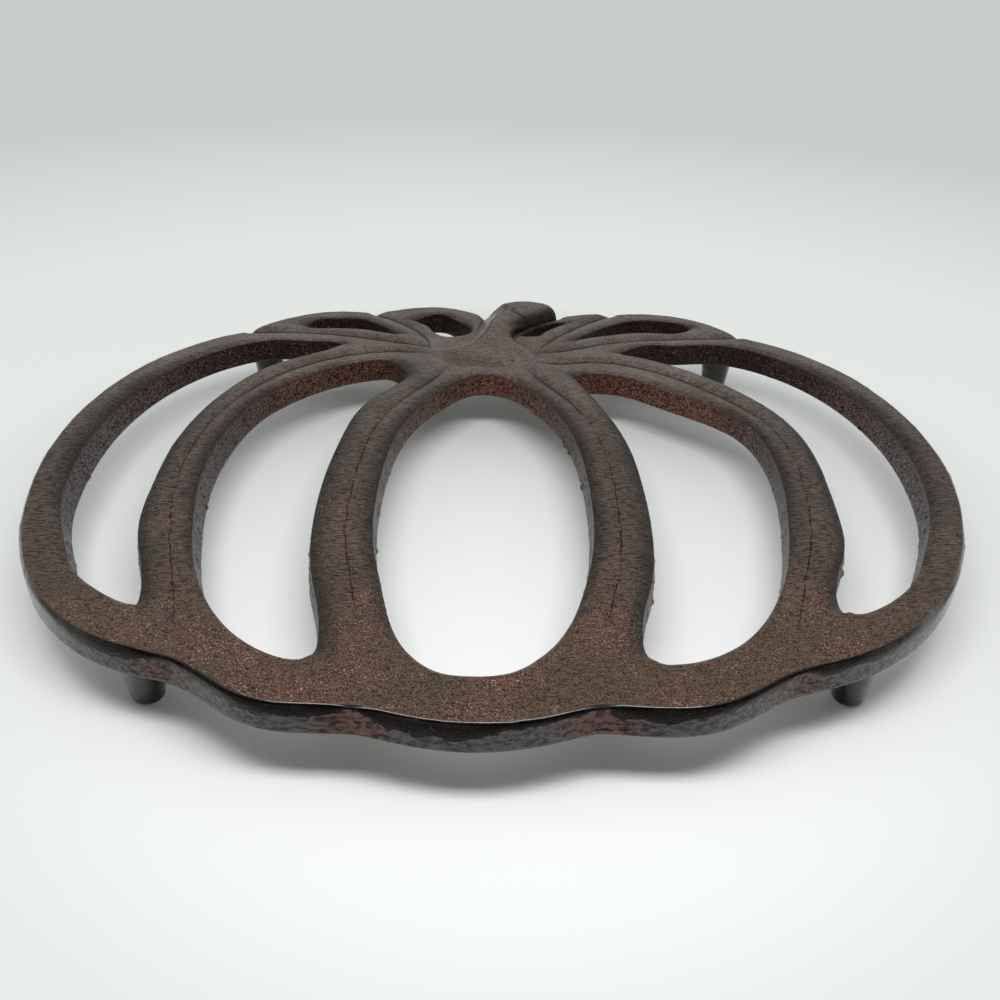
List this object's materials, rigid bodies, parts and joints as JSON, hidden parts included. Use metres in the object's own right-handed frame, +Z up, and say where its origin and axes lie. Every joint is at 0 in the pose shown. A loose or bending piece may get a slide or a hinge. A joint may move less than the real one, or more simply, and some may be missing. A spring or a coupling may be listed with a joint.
{
  "type": "trivet",
  "caption": "Openwork cast iron trivet in the shape of a pumpkin with a raised stem, on short tapered feet, for standing a hot pan on a table.",
  "frame": {"origin": "on the table, under the middle of the whole trivet", "axes": "+X to the right across the pumpkin, +Y from the front band to the stem, +Z up"},
  "size_m": [0.19, 0.1618, 0.019],
  "materials": {
    "brown_iron": "satin"
  },
  "bodies": {
    "root": {"segment_center": "brown_iron", "segment_inner_left": "brown_iron", "segment_inner_right": "brown_iron", "segment_outer_left": "brown_iron", "segment_outer_right": "brown_iron", "segment_back_left": "brown_iron", "segment_back_right": "brown_iron", "segment_rear_left": "brown_iron", "segment_rear_right": "brown_iron", "stem": "brown_iron", "foot_front_left": "brown_iron", "foot_front_right": "brown_iron", "foot_back_left": "brown_iron", "foot_back_right": "brown_iron"}
  },
  "joints": []
}
